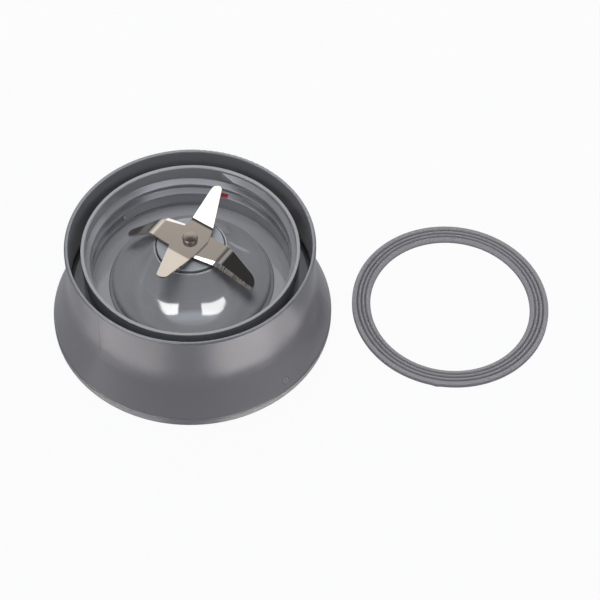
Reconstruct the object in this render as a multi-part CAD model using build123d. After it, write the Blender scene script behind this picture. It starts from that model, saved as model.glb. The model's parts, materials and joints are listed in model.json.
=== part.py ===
from build123d import *

import math
import os

# Blade unit of a kitchen blender: a flared collar that stands on the motor base, a cup with the jar's
# thread, two stamped blades on a spindle, and the rubber ring that seals the jar, lying beside it.
# Sizes are in millimetres and angles in degrees. The origin is on the spin axis, on the surface that
# the collar stands on. +Z is up, and +X points to the sealing ring.

# Cup and jar thread
LAND_RADIUS = 42.3
THREAD_DEPTH = 1.9
THREAD_PITCH = 6.0
THREAD_CREST = 1.2
THREAD_UPPER_FLANK = 1.9
THREAD_LOWER_FLANK = 0.6
THREAD_TURNS = 2.84
THREAD_END_ANGLE = 136.0
THREAD_END_RISE = 2.7
THREAD_LEAD_IN = 22.0
LAND_STEP = 0.05
LAND_OVERLAP = 0.02
LAND_SHORTFALL = 0.3
CUP_WALL = 1.5
CUP_DEPTH = 22.7
CUP_RIM_CHAMFER = 0.3
CUP_FLOOR_RISE = 4.3
CUP_FLOOR_THICKNESS = 2.0
CUP_FLANGE_THICKNESS = 2.5
CUP_FLANGE_GAP = 0.5
SLOT_WIDTH = 5.15

# Sealing channel and the cone that carries the bearing
CHANNEL_WIDTH = 8.7
CONE_EDGE_RISE = 3.7
CONE_EDGE_ROUND = 2.2
CONE_RISE = 23.6
CONE_BREAK_RUN = 0.42
CONE_BREAK_FALL = 0.57
CONE_SWEEP = 0.7
HUB_RIM_WIDTH = 0.6
HUB_RIM_ROUND = 0.25
HUB_SEAT_DEPTH = 1.2
HUB_PLATE_THICKNESS = 2.4

# Collar. The rounds of its rim are shares of its wall.
COLLAR_WALL = 1.55
COLLAR_RIM_RISE = 3.0
RIM_OUTER_ROUND = 0.45
RIM_INNER_ROUND = 0.35
COLLAR_WAIST_HEIGHT = 24.0
COLLAR_WAIST_ROUND = 28.0
COLLAR_FLARE = 7.6
LIP_HEIGHT = 3.2
LIP_WALL = 2.4
LIP_ROUND = 0.4
LIP_GROOVE_DEPTH = 0.5
LIP_GROOVE_HEIGHT = 0.7
SEAT_LAND_HEIGHT = 4.0
LEDGE_HEIGHT = 14.0
LEDGE_THICKNESS = 2.5
LUG_COUNT = 4
LUG_SPAN = 18.0
LUG_BOTTOM = 5.6
LUG_HEIGHT = 3.0
LUG_DEPTH = 2.6

# Screws that hold the cup on the collar's ledge
SCREW_COUNT = 4
SCREW_FIRST_ANGLE = 45.0
SCREW_OFFSET = 1.9
SCREW_RADIUS = 1.25
SCREW_HEAD_RADIUS = 2.6
SCREW_HEAD_HEIGHT = 1.8
SCREW_HEAD_ROUND = 0.6
SCREW_REACH = 9.0
SCREW_RECESS_WIDTH = 0.7
SCREW_RECESS_LENGTH = 2.8
SCREW_RECESS_DEPTH = 0.9
SCREW_CLEARANCE = 0.4
BOSS_WALL = 1.15
BOSS_HEIGHT = 8.0

# Bearing housing and what it holds
FLANGE_RADIUS = 14.1
FLANGE_THICKNESS = 1.5
FLANGE_ROUND = 0.4
GASKET_THICKNESS = 0.8
GASKET_GAP = 0.3
HOUSING_RADIUS = 8.0
HOUSING_LENGTH = 20.0
HOUSING_WALL = 1.5
HOUSING_SHOULDER_WIDTH = 1.3
HOUSING_SHOULDER_HEIGHT = 1.5
HOUSING_CLEARANCE = 0.2
WASHER_RADIUS = 12.0
WASHER_THICKNESS = 1.4
NUT_ACROSS_FLATS = 20.0
NUT_THICKNESS = 6.0
NUT_CORNER_ANGLE = 30.0
BUSH_LENGTH = 8.0
BUSH_CHAMFER = 0.4
SEAL_HEIGHT = 3.2
SEAL_WEB = 1.2
SEAL_LIP = 0.6
SEAL_CASE = 0.8
SEAL_SHORTFALL = 0.4
FIT_GAP = 0.02

# Spindle and what turns with it
SPINDLE_RADIUS = 4.0
SPINDLE_CLEARANCE = 0.05
RUN_GAP = 0.3
SPACER_RADIUS = 6.5
SPACER_THICKNESS = 1.4
SHANK_RADIUS = 2.5
SHANK_FLATS = 4.2
SHANK_CLEARANCE = 0.05
HEAD_RADIUS = 3.2
HEAD_HEIGHT = 1.5
HEAD_CROWN = 0.35
HEAD_ROUND = 0.45
THRUST_WASHER_RADIUS = 7.0
THRUST_WASHER_THICKNESS = 0.8
RETAINING_RING_RADIUS = 5.8
RETAINING_RING_THICKNESS = 0.9
RETAINING_RING_OPENING = 3.4
RETAINING_GROOVE_DEPTH = 0.6
COUPLING_DROP = 2.5
DRIVE_RADIUS = 3.2
DRIVE_FLATS = 5.0
INSERT_ACROSS_FLATS = 12.0
INSERT_LENGTH = 5.0
COUPLING_RADIUS = 14.0
COUPLING_LENGTH = 13.0
COUPLING_CHAMFER = 1.0
SOCKET_ROOF = 4.6
SOCKET_CORE_RADIUS = 7.4
SOCKET_LOBES = 6
SOCKET_LOBE_RADIUS = 11.4
SOCKET_LOBE_WIDTH = 4.4
TAIL_RADIUS = 2.5
TAIL_END = 0.6
LOCK_WASHER_RADIUS = 4.4
LOCK_WASHER_THICKNESS = 0.8
LOCK_WASHER_SLIT = 0.6
COUPLING_NUT_ACROSS_FLATS = 8.0
COUPLING_NUT_THICKNESS = 3.2

# Blades. Each is a strip with two arms, the same when turned half round. Across is measured along the
# bend line, and the leading edge is the clockwise one seen from above. The rounds of a tip are shares of
# its width. A bevel is ground at one slope, so it is deepest at the bend, where it is widest.
BLADE_THICKNESS = 0.8
BLADE_BEND_ROUND = 4.5
BEVEL_ANGLE = 17.0
BEVEL_WAIST_WIDTH = 1.0
BEVEL_BEND_WIDTH = 2.1
BEVEL_TIP_WIDTH = 1.2
TIP_TRAILING_ROUND = 0.68
TIP_LEADING_ROUND = 0.3

LOWER_HEADING = -32.2
LOWER_BEND_OFFSET = 16.4
LOWER_BEND_ANGLE = -41.5
LOWER_ARM_LENGTH = 18.3
LOWER_WAIST_OFFSET = 5.0
LOWER_WAIST_LEADING = 6.7
LOWER_WAIST_TRAILING = 6.5
LOWER_BEND_LEADING = 4.9
LOWER_BEND_TRAILING = 5.9
LOWER_TIP_LEADING = -0.5
LOWER_TIP_TRAILING = 5.8

UPPER_HEADING = 57.4
UPPER_BEND_OFFSET = 9.5
UPPER_BEND_ANGLE = 19.0
UPPER_ARM_LENGTH = 18.0
UPPER_WAIST_OFFSET = 3.0
UPPER_WAIST_LEADING = 6.7
UPPER_WAIST_TRAILING = 6.5
UPPER_BEND_LEADING = 4.7
UPPER_BEND_TRAILING = 5.9
UPPER_TIP_LEADING = -2.5
UPPER_TIP_TRAILING = 6.3

# Sealing ring, drawn as it lies when taken out. It is a little wider than its channel, so it stays in it.
RING_SQUEEZE = 0.9
RING_WIDTH = 8.4
RING_THICKNESS = 1.8
RING_RIB_PLACES = (1.4, 3.5, 5.1)
RING_RIB_BASE = 1.1
RING_RIB_TOP = 0.5
RING_RIB_HEIGHT = 0.5
RING_NUB_ANGLE = 261.0
RING_NUB_LENGTH = 3.0
RING_NUB_DEPTH = 0.6
RING_APART = 8.3
RING_FORWARD = 7.6

# Radii that follow from the sizes above
WALL_RADIUS = LAND_RADIUS + THREAD_DEPTH
CUP_RADIUS = WALL_RADIUS + CUP_WALL
COLLAR_INNER_RADIUS = CUP_RADIUS + SLOT_WIDTH
COLLAR_RIM_RADIUS = COLLAR_INNER_RADIUS + COLLAR_WALL
COLLAR_BASE_RADIUS = COLLAR_RIM_RADIUS + COLLAR_FLARE
SEAT_RADIUS = COLLAR_BASE_RADIUS - LIP_WALL
CONE_EDGE_RADIUS = LAND_RADIUS - CHANNEL_WIDTH
HUB_SEAT_RADIUS = FLANGE_RADIUS + 2 * GASKET_GAP
HUB_RIM_RADIUS = HUB_SEAT_RADIUS + HUB_RIM_WIDTH
HUB_HOLE_RADIUS = HOUSING_RADIUS + HOUSING_CLEARANCE
BORE_RADIUS = HOUSING_RADIUS - HOUSING_WALL
SCREW_CIRCLE = CUP_RADIUS + SCREW_OFFSET
BOSS_RADIUS = SCREW_RADIUS + BOSS_WALL
LEDGE_RADIUS = SCREW_CIRCLE - SCREW_HEAD_RADIUS - BOSS_WALL

# Heights that follow from the sizes above
LEDGE_TOP = LEDGE_HEIGHT + LEDGE_THICKNESS
FLANGE_LEDGE_TOP = LEDGE_TOP + CUP_FLANGE_THICKNESS
CHANNEL_FLOOR = LEDGE_TOP + CUP_FLOOR_RISE
CUP_RIM = CHANNEL_FLOOR + CUP_DEPTH
COLLAR_RIM = CUP_RIM + COLLAR_RIM_RISE
CONE_EDGE = CHANNEL_FLOOR + CONE_EDGE_RISE
HUB_RIM = CHANNEL_FLOOR + CONE_RISE
HUB_SEAT = HUB_RIM - HUB_SEAT_DEPTH
HUB_UNDERSIDE = HUB_SEAT - HUB_PLATE_THICKNESS
FLANGE_BOTTOM = HUB_SEAT + GASKET_THICKNESS
FLANGE_TOP = FLANGE_BOTTOM + FLANGE_THICKNESS
HOUSING_BOTTOM = FLANGE_BOTTOM - HOUSING_LENGTH
WASHER_BOTTOM = HUB_UNDERSIDE - WASHER_THICKNESS
LOWER_BUSH_TOP = HOUSING_BOTTOM + BUSH_LENGTH
UPPER_BUSH_BOTTOM = LOWER_BUSH_TOP + HOUSING_SHOULDER_HEIGHT
UPPER_BUSH_TOP = UPPER_BUSH_BOTTOM + BUSH_LENGTH
SPACER_BOTTOM = FLANGE_TOP + RUN_GAP
SPACER_TOP = SPACER_BOTTOM + SPACER_THICKNESS
LOWER_BLADE_TOP = SPACER_TOP + BLADE_THICKNESS
UPPER_BLADE_TOP = LOWER_BLADE_TOP + BLADE_THICKNESS
THRUST_WASHER_TOP = HOUSING_BOTTOM - RUN_GAP
THRUST_WASHER_BOTTOM = THRUST_WASHER_TOP - THRUST_WASHER_THICKNESS
RETAINING_RING_BOTTOM = THRUST_WASHER_BOTTOM - RETAINING_RING_THICKNESS
COUPLING_TOP = RETAINING_RING_BOTTOM - COUPLING_DROP
COUPLING_BOTTOM = COUPLING_TOP - COUPLING_LENGTH
INSERT_BOTTOM = COUPLING_TOP - INSERT_LENGTH
LOCK_WASHER_BOTTOM = INSERT_BOTTOM - LOCK_WASHER_THICKNESS
COUPLING_NUT_BOTTOM = LOCK_WASHER_BOTTOM - COUPLING_NUT_THICKNESS
TAIL_BOTTOM = COUPLING_NUT_BOTTOM - TAIL_END

# Margin by which a cutting tool runs past the face that it cuts
OVERRUN = 1.0


def polar(radius, angle):
    """Point in the ground plane at a radius and an angle about the spin axis."""
    turn = math.radians(angle)
    return (radius * math.cos(turn), radius * math.sin(turn))


def parallel(points, distance):
    """Corners of a line that runs beside an open line of points, on its right hand."""
    normals = []
    for (x0, y0), (x1, y1) in zip(points, points[1:]):
        length = math.hypot(x1 - x0, y1 - y0)
        normals.append(((y1 - y0) / length, (x0 - x1) / length))
    before = [normals[0]] + normals
    after = normals + [normals[-1]]
    moved = []
    for (x, y), (ax, ay), (bx, by) in zip(points, before, after):
        stretch = distance / (1 + ax * bx + ay * by)
        moved.append((x + (ax + bx) * stretch, y + (ay + by) * stretch))
    return moved


def radius_at(lower, upper, height):
    """Radius of a straight wall at a height, from two (radius, height) points on it."""
    share = (height - lower[1]) / (upper[1] - lower[1])
    return lower[0] + share * (upper[0] - lower[0])


def gentle_round(before, corner, after):
    """Radius of the arc that takes up a set share of the shorter leg at a shallow corner."""
    leg_in = Vector(corner) - Vector(before)
    leg_out = Vector(after) - Vector(corner)
    turn = math.radians(leg_in.get_angle(leg_out))
    return CONE_SWEEP * min(leg_in.length, leg_out.length) / math.tan(turn / 2)


def section(points, rounds=None):
    """Face in the XZ plane from (radius, height) corners, some of them rounded."""
    rounds = rounds or {}
    radii = [rounds.get(point, 0) for point in points]
    return Plane.XZ * make_face(FilletPolyline(*points, radius=radii, close=True))


def turned(points, rounds=None, arc=360.0):
    """Solid turned about the spin axis from (radius, height) corners."""
    return revolve(section(points, rounds), axis=Axis.Z, revolution_arc=arc)


def ring(inner, outer, bottom, top):
    """Flat ring about the spin axis."""
    return turned([(inner, bottom), (outer, bottom), (outer, top), (inner, top)])


def prism(sketch, bottom, top):
    """Upright prism of a sketch between two heights."""
    return Pos(0, 0, bottom) * extrude(sketch, amount=top - bottom)


def hexagon(across_flats):
    """Hexagon sketch of a given width across its flats."""
    return RegularPolygon(across_flats / 2, 6, major_radius=False)


def flatted(radius, flats):
    """Round with two parallel flats, as on a shaft that drives what it carries."""
    return Circle(radius) & Rectangle(2 * radius + OVERRUN, flats)


def make_outer_collar():
    """Flared shell with a rim, a foot lip, a ledge for the cup and lugs for the motor base."""
    foot_radius = COLLAR_BASE_RADIUS - LIP_GROOVE_DEPTH / 2
    groove_bottom = (COLLAR_BASE_RADIUS - LIP_GROOVE_DEPTH, LIP_HEIGHT + LIP_GROOVE_HEIGHT / 2)
    foot = (foot_radius, LIP_HEIGHT + LIP_GROOVE_HEIGHT)
    waist = (COLLAR_RIM_RADIUS, COLLAR_WAIST_HEIGHT)
    rim = (COLLAR_RIM_RADIUS, COLLAR_RIM)
    inner_rim, inner_waist, inner_foot = parallel([rim, waist, foot], COLLAR_WALL)
    ledge_top = (radius_at(inner_foot, inner_waist, LEDGE_TOP), LEDGE_TOP)
    ledge_bottom = (radius_at(inner_foot, inner_waist, LEDGE_HEIGHT), LEDGE_HEIGHT)
    lip_bottom = (COLLAR_BASE_RADIUS, 0.0)
    lip_top = (COLLAR_BASE_RADIUS, LIP_HEIGHT)
    seat_top = (radius_at(inner_foot, inner_waist, SEAT_LAND_HEIGHT + LIP_GROOVE_HEIGHT),
                SEAT_LAND_HEIGHT + LIP_GROOVE_HEIGHT)
    corners = [
        lip_bottom, lip_top, groove_bottom, foot, waist, rim, inner_rim, inner_waist, ledge_top,
        (LEDGE_RADIUS, LEDGE_TOP), (LEDGE_RADIUS, LEDGE_HEIGHT), ledge_bottom, seat_top,
        (SEAT_RADIUS, SEAT_LAND_HEIGHT), (SEAT_RADIUS, 0.0),
    ]
    rounds = {
        lip_bottom: LIP_ROUND,
        lip_top: LIP_ROUND,
        waist: COLLAR_WAIST_ROUND,
        inner_waist: COLLAR_WAIST_ROUND + COLLAR_WALL,
        rim: RIM_OUTER_ROUND * COLLAR_WALL,
        inner_rim: RIM_INNER_ROUND * COLLAR_WALL,
    }
    collar = turned(corners, rounds)
    lug_top = LUG_BOTTOM + LUG_HEIGHT
    lug_bite = COLLAR_WALL / 2
    lug_low = radius_at(inner_foot, inner_waist, LUG_BOTTOM)
    lug_high = radius_at(inner_foot, inner_waist, lug_top)
    lug = turned([
        (lug_high - LUG_DEPTH, LUG_BOTTOM), (lug_low + lug_bite, LUG_BOTTOM),
        (lug_high + lug_bite, lug_top), (lug_high - LUG_DEPTH, lug_top),
    ], arc=LUG_SPAN)
    for index in range(LUG_COUNT):
        collar += Rot(0, 0, index * 360 / LUG_COUNT - LUG_SPAN / 2) * lug
    hole = Circle(SCREW_RADIUS + SCREW_CLEARANCE)
    collar -= screw_pattern(prism(hole, LEDGE_HEIGHT - OVERRUN, LEDGE_TOP + OVERRUN))
    return collar


def screw_pattern(solid):
    """Copies of a solid made on the spin axis, one at each screw."""
    step = 360 / SCREW_COUNT
    places = [polar(SCREW_CIRCLE, SCREW_FIRST_ANGLE + index * step) for index in range(SCREW_COUNT)]
    return [Pos(x, y, 0) * solid for x, y in places]


def make_collar_screws():
    """Pan head screws from below, through the ledge into the bosses of the cup."""
    head_bottom = LEDGE_HEIGHT - SCREW_HEAD_HEIGHT
    shank_top = LEDGE_HEIGHT + SCREW_REACH
    outer_corner = (SCREW_HEAD_RADIUS, head_bottom)
    screw = turned([
        (0, head_bottom), outer_corner, (SCREW_HEAD_RADIUS, LEDGE_HEIGHT),
        (SCREW_RADIUS - FIT_GAP, LEDGE_HEIGHT), (SCREW_RADIUS - FIT_GAP, shank_top - SCREW_RADIUS),
        (0, shank_top),
    ], {outer_corner: SCREW_HEAD_ROUND})
    slot = Rectangle(SCREW_RECESS_LENGTH, SCREW_RECESS_WIDTH)
    cross = slot + Rot(0, 0, 90) * slot
    screw -= prism(cross, head_bottom - OVERRUN, head_bottom + SCREW_RECESS_DEPTH)
    return Compound(children=screw_pattern(screw))


def thread_rib(first_turn, last_turn, corners):
    """Rib along the jar's thread between two turns, from (radius, height over the crest) corners.

    Turns are counted upwards from the end of the thread.
    """
    path = Helix(THREAD_PITCH, (last_turn - first_turn) * THREAD_PITCH, LAND_RADIUS)
    rib = sweep(section(corners), path=path, is_frenet=True)
    lift = CHANNEL_FLOOR + THREAD_END_RISE + first_turn * THREAD_PITCH
    return Pos(0, 0, lift) * Rot(0, 0, THREAD_END_ANGLE + first_turn * 360) * rib


def make_jar_thread():
    """Single-start thread inside the cup, with a faded start and the plain land below it."""
    bite = CUP_WALL / 2
    root = WALL_RADIUS + bite
    deep = 1 + bite / THREAD_DEPTH
    rib = thread_rib(0, THREAD_TURNS, [
        (LAND_RADIUS, 0), (LAND_RADIUS, -THREAD_CREST),
        (root, -THREAD_CREST - THREAD_LOWER_FLANK * deep), (root, THREAD_UPPER_FLANK * deep),
    ])
    start_angle = THREAD_END_ANGLE + THREAD_TURNS * 360
    start_height = CHANNEL_FLOOR + THREAD_END_RISE + THREAD_TURNS * THREAD_PITCH
    inside = LAND_RADIUS - OVERRUN
    outside = root + OVERRUN
    past_angle = start_angle + math.degrees(OVERRUN / LAND_RADIUS)
    lead_in = make_face(Polyline(
        polar(root, start_angle), polar(inside, start_angle - THREAD_LEAD_IN),
        polar(inside, past_angle), polar(outside, past_angle), close=True))
    rib -= prism(lead_in, start_height - THREAD_PITCH / 2, start_height + THREAD_PITCH / 2)
    land_radius = LAND_RADIUS + LAND_STEP
    land_root = WALL_RADIUS + bite / 2
    land_top = -THREAD_CREST / 2
    land_bottom = land_top - THREAD_PITCH + LAND_SHORTFALL
    land = thread_rib(-LAND_OVERLAP, 1, [
        (land_radius, land_top), (land_radius, land_bottom), (land_root, land_bottom), (land_root, land_top),
    ])
    end_height = CHANNEL_FLOOR + THREAD_END_RISE
    foot_bottom = CHANNEL_FLOOR - CUP_FLOOR_THICKNESS / 2
    land &= prism(Circle(outside), foot_bottom, CUP_RIM)
    foot = ring(land_radius + LAND_STEP, root, foot_bottom, end_height - THREAD_CREST)
    return rib, land, foot


def make_threaded_cup():
    """Cup with the jar thread, the sealing channel, the cone and the flange that is screwed down."""
    hub_rim = (HUB_RIM_RADIUS, HUB_RIM)
    cone_edge = (CONE_EDGE_RADIUS, CONE_EDGE)
    cone_break = (
        HUB_RIM_RADIUS + CONE_BREAK_RUN * (CONE_EDGE_RADIUS - HUB_RIM_RADIUS),
        HUB_RIM - CONE_BREAK_FALL * (HUB_RIM - CONE_EDGE),
    )
    under_rim, under_break, under_edge = parallel([hub_rim, cone_break, cone_edge], CUP_FLOOR_THICKNESS)
    floor_bottom = CHANNEL_FLOOR - CUP_FLOOR_THICKNESS
    under_foot = radius_at(under_break, under_edge, floor_bottom)
    under_hub = radius_at(under_break, under_rim, HUB_UNDERSIDE)
    flange_radius = COLLAR_INNER_RADIUS - CUP_FLANGE_GAP
    rim_inside = WALL_RADIUS + CUP_RIM_CHAMFER
    corners = [
        (HUB_HOLE_RADIUS, HUB_SEAT), (HUB_SEAT_RADIUS, HUB_SEAT), (HUB_SEAT_RADIUS, HUB_RIM), hub_rim,
        cone_break, cone_edge, (CONE_EDGE_RADIUS, CHANNEL_FLOOR), (WALL_RADIUS, CHANNEL_FLOOR),
        (WALL_RADIUS, CUP_RIM - CUP_RIM_CHAMFER), (rim_inside, CUP_RIM), (CUP_RADIUS, CUP_RIM),
        (CUP_RADIUS, FLANGE_LEDGE_TOP), (flange_radius, FLANGE_LEDGE_TOP), (flange_radius, LEDGE_TOP),
        (LAND_RADIUS, LEDGE_TOP), (LAND_RADIUS, floor_bottom), (under_foot, floor_bottom), under_break,
        (under_hub, HUB_UNDERSIDE), (HUB_HOLE_RADIUS, HUB_UNDERSIDE),
    ]
    rounds = {
        hub_rim: HUB_RIM_ROUND,
        cone_edge: CONE_EDGE_ROUND,
        cone_break: gentle_round(hub_rim, cone_break, cone_edge),
        under_break: gentle_round(under_rim, under_break, under_edge),
    }
    cup = turned(corners, rounds)
    for piece in make_jar_thread():
        cup += piece
    boss_top = FLANGE_LEDGE_TOP + BOSS_HEIGHT
    for boss in screw_pattern(prism(Circle(BOSS_RADIUS), FLANGE_LEDGE_TOP - OVERRUN, boss_top)):
        cup += boss
    pilot_top = LEDGE_HEIGHT + SCREW_REACH + SCREW_RADIUS
    cup -= screw_pattern(prism(Circle(SCREW_RADIUS), LEDGE_TOP - OVERRUN, pilot_top))
    return cup


def make_bearing_housing():
    """Pale disc on the cone, with a tube through it that holds the bushes and the shaft seal."""
    shoulder = BORE_RADIUS - HOUSING_SHOULDER_WIDTH
    flange_edge = (FLANGE_RADIUS, FLANGE_TOP)
    return turned([
        (BORE_RADIUS, HOUSING_BOTTOM), (HOUSING_RADIUS, HOUSING_BOTTOM), (HOUSING_RADIUS, FLANGE_BOTTOM),
        (FLANGE_RADIUS, FLANGE_BOTTOM), flange_edge, (BORE_RADIUS, FLANGE_TOP),
        (BORE_RADIUS, UPPER_BUSH_BOTTOM), (shoulder, UPPER_BUSH_BOTTOM), (shoulder, LOWER_BUSH_TOP),
        (BORE_RADIUS, LOWER_BUSH_TOP),
    ], {flange_edge: FLANGE_ROUND})


def make_housing_gasket():
    """Rubber ring between the housing's flange and its seat in the cone."""
    return ring(HUB_HOLE_RADIUS, FLANGE_RADIUS + GASKET_GAP, HUB_SEAT, FLANGE_BOTTOM)


def make_housing_washer():
    """Steel washer under the cone."""
    return ring(HUB_HOLE_RADIUS, WASHER_RADIUS, WASHER_BOTTOM, HUB_UNDERSIDE)


def chamfered_nut(across_flats, hole_radius, bottom, top):
    """Hexagon nut with its corners turned off at both ends."""
    flat = across_flats / 2
    corner = across_flats / math.sqrt(3)
    drop = (corner - flat) * math.tan(math.radians(NUT_CORNER_ANGLE))
    barrel = turned([
        (0, bottom), (flat, bottom), (corner, bottom + drop), (corner, top - drop), (flat, top), (0, top),
    ])
    return prism(hexagon(across_flats) - Circle(hole_radius), bottom, top) & barrel


def make_housing_nut():
    """Hexagon nut that clamps the housing to the cone."""
    return chamfered_nut(
        NUT_ACROSS_FLATS, HOUSING_RADIUS + FIT_GAP, WASHER_BOTTOM - NUT_THICKNESS, WASHER_BOTTOM)


def make_bush(bottom):
    """Sintered bush for the spindle, pressed into the housing."""
    inner = SPINDLE_RADIUS + SPINDLE_CLEARANCE
    outer = BORE_RADIUS - FIT_GAP
    top = bottom + BUSH_LENGTH
    return turned([
        (inner, bottom), (outer - BUSH_CHAMFER, bottom), (outer, bottom + BUSH_CHAMFER),
        (outer, top - BUSH_CHAMFER), (outer - BUSH_CHAMFER, top), (inner, top),
    ])


def make_shaft_seal():
    """Lip seal over the upper bush, open to the top."""
    inner = SPINDLE_RADIUS + SPINDLE_CLEARANCE
    outer = BORE_RADIUS - FIT_GAP
    top = UPPER_BUSH_TOP + SEAL_HEIGHT
    lip_top = top - SEAL_SHORTFALL
    web_top = UPPER_BUSH_TOP + SEAL_WEB
    return turned([
        (inner, UPPER_BUSH_TOP), (outer, UPPER_BUSH_TOP), (outer, top), (outer - SEAL_CASE, top),
        (outer - SEAL_CASE, web_top), (inner + SEAL_LIP, web_top), (inner + SEAL_LIP, lip_top),
        (inner, lip_top),
    ])


def make_spindle():
    """Steel spindle: a peened head, flats for the blades, a grooved journal, flats and a threaded tail."""
    groove = SPINDLE_RADIUS - RETAINING_GROOVE_DEPTH
    spindle = turned([
        (0, COUPLING_TOP), (SPINDLE_RADIUS, COUPLING_TOP), (SPINDLE_RADIUS, RETAINING_RING_BOTTOM),
        (groove, RETAINING_RING_BOTTOM), (groove, THRUST_WASHER_BOTTOM),
        (SPINDLE_RADIUS, THRUST_WASHER_BOTTOM), (SPINDLE_RADIUS, SPACER_BOTTOM), (0, SPACER_BOTTOM),
    ])
    spindle += prism(flatted(SHANK_RADIUS, SHANK_FLATS), SPACER_BOTTOM, UPPER_BLADE_TOP)
    rim = (HEAD_RADIUS, UPPER_BLADE_TOP + HEAD_HEIGHT)
    crown = (0, UPPER_BLADE_TOP + HEAD_HEIGHT + HEAD_CROWN)
    slope_change = (HEAD_RADIUS / 2, crown[1] - HEAD_CROWN / 4)
    spindle += turned(
        [(0, UPPER_BLADE_TOP), (HEAD_RADIUS, UPPER_BLADE_TOP), rim, slope_change, crown],
        {rim: HEAD_ROUND, slope_change: gentle_round(rim, slope_change, crown)})
    spindle += prism(flatted(DRIVE_RADIUS, DRIVE_FLATS), INSERT_BOTTOM, COUPLING_TOP)
    spindle += prism(Circle(TAIL_RADIUS), TAIL_BOTTOM, INSERT_BOTTOM)
    return spindle


def shank_hole():
    """Hole with flats that fits the spindle's upper shank."""
    return flatted(SHANK_RADIUS + SHANK_CLEARANCE, SHANK_FLATS + 2 * SHANK_CLEARANCE)


def make_blade_spacer():
    """Thin steel spacer between the bearing housing and the lower blade."""
    return prism(Circle(SPACER_RADIUS) - shank_hole(), SPACER_BOTTOM, SPACER_TOP)


def half_turns(solid):
    """A solid and its copy turned half round the spin axis."""
    return [solid, Rot(0, 0, 180) * solid]


def bevel_cutter(start, end, side):
    """Wedge that grinds away a blade's face beside a line from start to end on the local XY plane.

    The ground side is on the line's right. Side is 1 for a face that looks along the local +Z, and -1 for
    the opposite one.
    """
    line = Vector(*end) - Vector(*start)
    heading = math.degrees(math.atan2(line.Y, line.X))
    run = BEVEL_BEND_WIDTH + OVERRUN
    drop = run * math.tan(math.radians(BEVEL_ANGLE))
    wedge = make_face(Polyline(
        (0, 0), (-run, -side * drop), (-run, side * OVERRUN), (0, side * OVERRUN), close=True))
    bar = extrude(Plane.YZ * wedge, amount=line.length)
    return Pos(*start) * Rot(0, 0, heading) * bar


def make_blade(top, heading, bend_offset, bend_angle, arm_length, waist_offset, waist, bend, tip, bevel_side):
    """Stamped blade: a strip bent at two parallel lines, cut to its outline and ground on its edges.

    Waist, bend and tip are each (leading width, trailing width) from the middle line. The bevels are on
    the upper face where bevel_side is 1, and on the lower face of the arms where it is -1.
    """
    lean = math.radians(bend_angle)
    long_arm = arm_length + OVERRUN
    reach = bend_offset + long_arm * math.cos(lean)
    lift = long_arm * math.sin(lean)
    middle = -BLADE_THICKNESS / 2
    centre_line = FilletPolyline(
        (-reach, middle + lift), (-bend_offset, middle), (bend_offset, middle), (reach, middle + lift),
        radius=BLADE_BEND_ROUND + BLADE_THICKNESS / 2)
    half_width = max(waist + bend + tip) + OVERRUN
    strip = extrude(Plane.XZ * trace(centre_line, BLADE_THICKNESS), amount=half_width, both=True)
    tip_reach = bend_offset + arm_length * math.cos(lean)
    tip_width = sum(tip)
    arm = [
        (waist_offset, -waist[0]), (bend_offset, -bend[0]), (tip_reach, -tip[0]), (tip_reach, tip[1]),
        (bend_offset, bend[1]), (waist_offset, waist[1]),
    ]
    other_arm = [(-x, -y) for x, y in arm]
    rounds = [0, 0, TIP_LEADING_ROUND * tip_width, TIP_TRAILING_ROUND * tip_width, 0, 0]
    outline = FilletPolyline(*arm, *other_arm, radius=rounds * 2, close=True)
    depth = abs(lift) + 2 * BLADE_THICKNESS
    blade = strip & extrude(make_face(outline), amount=depth, both=True)
    face = 0 if bevel_side > 0 else -BLADE_THICKNESS
    arm_plane = Plane(
        origin=(bend_offset, 0, 0), x_dir=(math.cos(lean), 0, math.sin(lean)),
        z_dir=(-math.sin(lean), 0, math.cos(lean)))
    bend_line = BEVEL_BEND_WIDTH - bend[0]
    tip_line = BEVEL_TIP_WIDTH - tip[0]
    arm_end = (long_arm, bend_line + (tip_line - bend_line) * long_arm / arm_length)
    arm_bevel = arm_plane * (Pos(0, 0, face) * bevel_cutter((0, bend_line), arm_end, bevel_side))
    blade -= half_turns(arm_bevel)
    half_lean = lean / 2
    bend_plane = Plane(
        origin=(bend_offset, 0, 0), x_dir=(math.cos(half_lean), 0, math.sin(half_lean)),
        z_dir=(-math.sin(half_lean), 0, math.cos(half_lean)))
    outer_round = BLADE_BEND_ROUND + BLADE_THICKNESS
    sink = bevel_side * outer_round * (1 / math.cos(half_lean) - 1)
    bend_reach = outer_round * abs(half_lean)
    bend_bevel = bevel_cutter((-bend_reach, bend_line), (bend_reach, bend_line), bevel_side)
    blade -= half_turns(bend_plane * (Pos(0, 0, face - sink) * bend_bevel))
    if bevel_side > 0:
        waist_line = (waist_offset, BEVEL_WAIST_WIDTH - waist[0])
        blade -= half_turns(bevel_cutter(waist_line, (bend_offset, bend_line), bevel_side))
    blade = Rot(0, 0, heading) * blade - extrude(shank_hole(), amount=depth, both=True)
    return Pos(0, 0, top) * blade


def make_lower_blade():
    """Blade with both arms bent down, ground on top."""
    return make_blade(
        LOWER_BLADE_TOP, LOWER_HEADING, LOWER_BEND_OFFSET, LOWER_BEND_ANGLE, LOWER_ARM_LENGTH,
        LOWER_WAIST_OFFSET, (LOWER_WAIST_LEADING, LOWER_WAIST_TRAILING),
        (LOWER_BEND_LEADING, LOWER_BEND_TRAILING), (LOWER_TIP_LEADING, LOWER_TIP_TRAILING), 1)


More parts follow.
